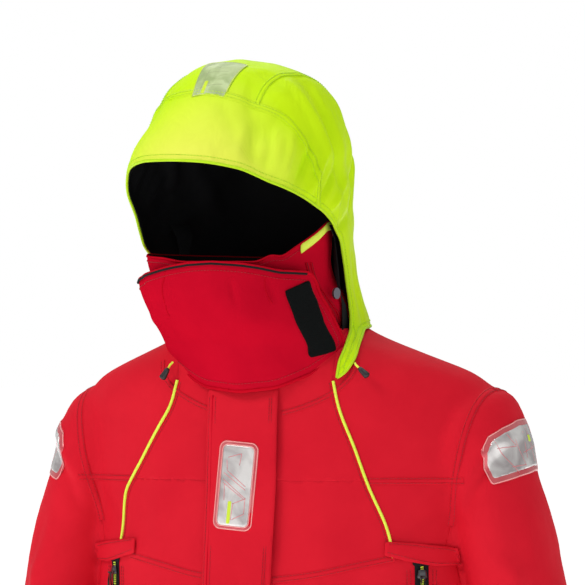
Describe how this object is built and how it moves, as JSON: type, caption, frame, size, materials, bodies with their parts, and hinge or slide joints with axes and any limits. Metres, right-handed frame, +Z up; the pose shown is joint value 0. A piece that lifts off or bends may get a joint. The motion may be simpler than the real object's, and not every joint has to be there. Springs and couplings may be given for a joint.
{
  "type": "foul weather jacket",
  "caption": "Sailing foul weather jacket worn upright, with raised hood, high collar, closed face guard, storm flap over a zip, chest and hand pockets",
  "frame": {"origin": "neck base where the shoulders or a hanger carry the jacket", "axes": "+X wearer's left, -Y wearer's front, +Z up"},
  "size_m": [0.6904, 0.3962, 1.0672],
  "materials": {
    "shell_cloth": "red laminated waterproof cloth, fine plain weave, semi-matt",
    "hood_cloth": "fluorescent yellow-green waterproof cloth",
    "black_lining": "black taffeta and mesh lining",
    "lime_trim": "bright lime piping, webbing and zip teeth",
    "hook_and_loop": "black hook-and-loop tape",
    "reflective_film": "silver retroreflective film under clear film",
    "grey_rubber": "dark grey moulded rubber grips",
    "dark_metal": "dark coated metal",
    "black_plastic": "black moulded plastic",
    "black_rubber": "soft black polyurethane seal"
  },
  "bodies": {
    "jacket": {"back_panel": "shell_cloth", "back_yoke": "shell_cloth", "body_lining": "black_lining", "chest_panel_left": "shell_cloth", "chest_panel_right": "shell_cloth", "chest_piping": "lime_trim", "chest_pocket_bags": "black_lining", "chest_pocket_covers": "shell_cloth", "chest_zip_tapes": "black_plastic", "chest_zip_teeth": "lime_trim", "collar_lining": "black_lining", "collar_stand": "shell_cloth", "collar_strips": "lime_trim", "front_panel_left": "shell_cloth", "front_panel_right": "shell_cloth", "front_yoke_left": "shell_cloth", "front_yoke_right": "shell_cloth", "hand_pockets": "shell_cloth", "hang_loop": "black_lining", "hem_cord_locks": "black_plastic", "hem_facing": "black_lining", "hood_drawcord_ends": "lime_trim", "hood_drawcord_toggles": "black_plastic", "main_zip_tapes": "black_plastic", "main_zip_teeth": "black_plastic", "storm_flap_loop_pads": "hook_and_loop"},
    "hood": {"hood_crown_panel": "hood_cloth", "hood_edge_snap": "dark_metal", "hood_lining": "black_lining", "hood_patch": "reflective_film", "hood_peak": "hood_cloth", "hood_side_left": "hood_cloth", "hood_side_right": "hood_cloth"},
    "face_guard_panel": {"face_guard": "shell_cloth", "face_guard_lining": "black_lining", "hook_and_loop_patch": "hook_and_loop"},
    "storm_flap_panel": {"storm_flap": "shell_cloth", "storm_flap_patch": "reflective_film", "storm_flap_hook_pads": "hook_and_loop"},
    "main_slider": {"main_zip_slider": "dark_metal"},
    "chest_slider_left": {"chest_zip_slider_left": "dark_metal"},
    "chest_pull_left": {"chest_zip_pull_left": "grey_rubber"},
    "upper_arm_left": {"upper_sleeve_left": "shell_cloth", "sleeve_patch_left": "reflective_film"},
    "forearm_left": {"forearm_sleeve_left": "shell_cloth", "cuff_left": "shell_cloth", "wrist_seal_left": "black_rubber"},
    "cuff_strap_left": {"cuff_tab_left": "shell_cloth"},
    "pocket_lid_left": {"hand_pocket_lid_left": "shell_cloth"},
    "hem_button_left": {"hem_lock_button_left": "black_plastic"},
    "chest_slider_right": {"chest_zip_slider_right": "dark_metal"},
    "chest_pull_right": {"chest_zip_pull_right": "grey_rubber"},
    "upper_arm_right": {"upper_sleeve_right": "shell_cloth", "sleeve_patch_right": "reflective_film"},
    "forearm_right": {"forearm_sleeve_right": "shell_cloth", "cuff_right": "shell_cloth", "wrist_seal_right": "black_rubber"},
    "cuff_strap_right": {"cuff_tab_right": "shell_cloth"},
    "pocket_lid_right": {"hand_pocket_lid_right": "shell_cloth"},
    "hem_button_right": {"hem_lock_button_right": "black_plastic"}
  },
  "joints": [
    {"name": "hood_fold", "type": "hinge", "parent": "jacket", "child": "hood", "pos_m": [0.01346, 0.05023, 0.02], "axis": [-0.9659, 0.2588, 0], "range_deg": [0, 70]},
    {"name": "face_guard_swing", "type": "hinge", "parent": "jacket", "child": "face_guard_panel", "pos_m": [-0.13413, -0.07173, 0.04], "axis": [0, 0, -1], "range_deg": [0, 90]},
    {"name": "storm_flap_swing", "type": "hinge", "parent": "jacket", "child": "storm_flap_panel", "pos_m": [-0.0475, -0.1582, -0.38], "axis": [0, -0.0306, -0.9995], "range_deg": [0, 100]},
    {"name": "main_zip_slide", "type": "slide", "parent": "jacket", "child": "main_slider", "axis": [0, -0.0306, -0.9995], "range_m": [0, 0.68]},
    {"name": "shoulder_raise_left", "type": "hinge", "parent": "jacket", "child": "upper_arm_left", "pos_m": [0.234, 0, -0.04], "axis": [0, -1, 0], "range_deg": [0, 60]},
    {"name": "elbow_bend_left", "type": "hinge", "parent": "upper_arm_left", "child": "forearm_left", "pos_m": [0.271, -0.0925, -0.33], "axis": [-1, 0, 0], "range_deg": [0, 90]},
    {"name": "cuff_strap_open_left", "type": "hinge", "parent": "forearm_left", "child": "cuff_strap_left", "pos_m": [0.343, -0.057, -0.58], "axis": [0, 0, 1], "range_deg": [0, 90]},
    {"name": "chest_zip_slide_left", "type": "slide", "parent": "jacket", "child": "chest_slider_left", "axis": [0, -0.0286, -0.9996], "range_m": [0, 0.12]},
    {"name": "chest_pull_swing_left", "type": "hinge", "parent": "chest_slider_left", "child": "chest_pull_left", "pos_m": [0.17741, -0.10371, -0.242], "axis": [-0.7771, -0.6293, 0], "range_deg": [0, 120]},
    {"name": "pocket_lid_lift_left", "type": "hinge", "parent": "jacket", "child": "pocket_lid_left", "pos_m": [0.1325, -0.17, -0.45], "axis": [-1, 0, 0], "range_deg": [0, 120]},
    {"name": "hem_button_press_left", "type": "slide", "parent": "jacket", "child": "hem_button_left", "axis": [0, -1, 0], "range_m": [0, 0.0025], "stiffness_N_per_m": 300, "springref_m": -0.002},
    {"name": "shoulder_raise_right", "type": "hinge", "parent": "jacket", "child": "upper_arm_right", "pos_m": [-0.234, 0, -0.04], "axis": [0, 1, 0], "range_deg": [0, 60]},
    {"name": "elbow_bend_right", "type": "hinge", "parent": "upper_arm_right", "child": "forearm_right", "pos_m": [-0.271, -0.0925, -0.33], "axis": [-1, 0, 0], "range_deg": [0, 90]},
    {"name": "cuff_strap_open_right", "type": "hinge", "parent": "forearm_right", "child": "cuff_strap_right", "pos_m": [-0.343, -0.057, -0.58], "axis": [0, 0, -1], "range_deg": [0, 90]},
    {"name": "chest_zip_slide_right", "type": "slide", "parent": "jacket", "child": "chest_slider_right", "axis": [0, -0.0286, -0.9996], "range_m": [0, 0.12]},
    {"name": "chest_pull_swing_right", "type": "hinge", "parent": "chest_slider_right", "child": "chest_pull_right", "pos_m": [-0.17741, -0.10371, -0.242], "axis": [-0.7771, 0.6293, 0], "range_deg": [0, 120]},
    {"name": "pocket_lid_lift_right", "type": "hinge", "parent": "jacket", "child": "pocket_lid_right", "pos_m": [-0.1325, -0.17, -0.45], "axis": [-1, 0, 0], "range_deg": [0, 120]},
    {"name": "hem_button_press_right", "type": "slide", "parent": "jacket", "child": "hem_button_right", "axis": [0, -1, 0], "range_m": [0, 0.0025], "stiffness_N_per_m": 300, "springref_m": -0.002}
  ]
}
